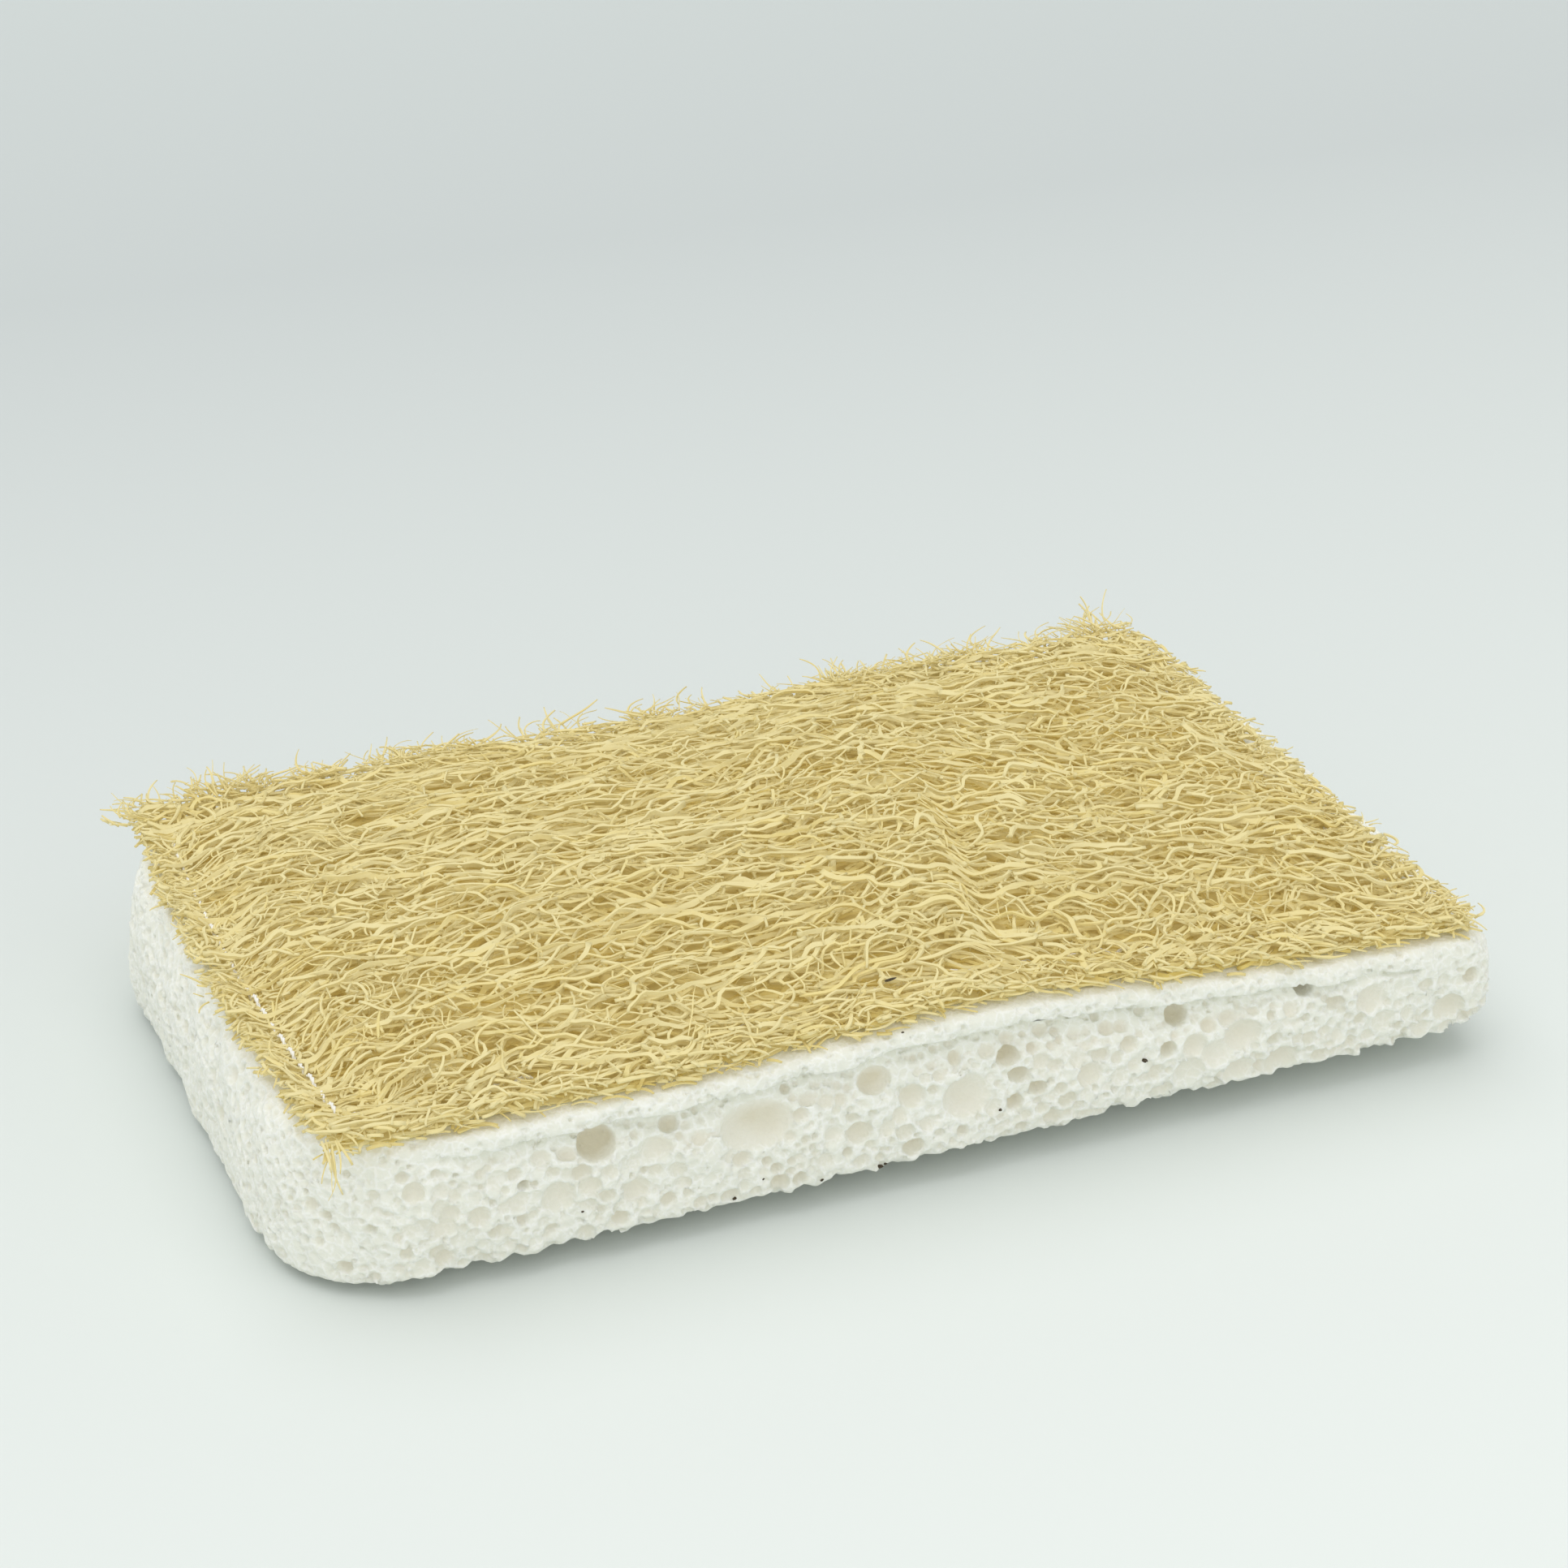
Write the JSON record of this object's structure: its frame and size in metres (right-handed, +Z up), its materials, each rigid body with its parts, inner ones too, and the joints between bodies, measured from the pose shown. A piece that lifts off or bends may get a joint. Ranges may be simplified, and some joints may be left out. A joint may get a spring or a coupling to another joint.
{
  "type": "kitchen loofah sponge",
  "caption": "Flat kitchen scrubber: a white cellulose foam block with rounded corners and a golden loofah fibre mat sewn on top.",
  "frame": {"origin": "bottom centre of the block, on the surface that it rests on", "axes": "+X along the length towards the right end, -Y towards the long face with the slit, +Z up through the loofah mat"},
  "size_m": [0.1182, 0.0694, 0.0235],
  "materials": {
    "foam": "matt open-pored white cellulose foam",
    "fibre": "matt pale golden dried plant fibre",
    "thread": "glossy white twisted polyester"
  },
  "bodies": {
    "root": {"sponge_block": "foam", "loofah_pad": "fibre", "needle_thread": "thread", "bobbin_thread": "thread"}
  },
  "joints": []
}
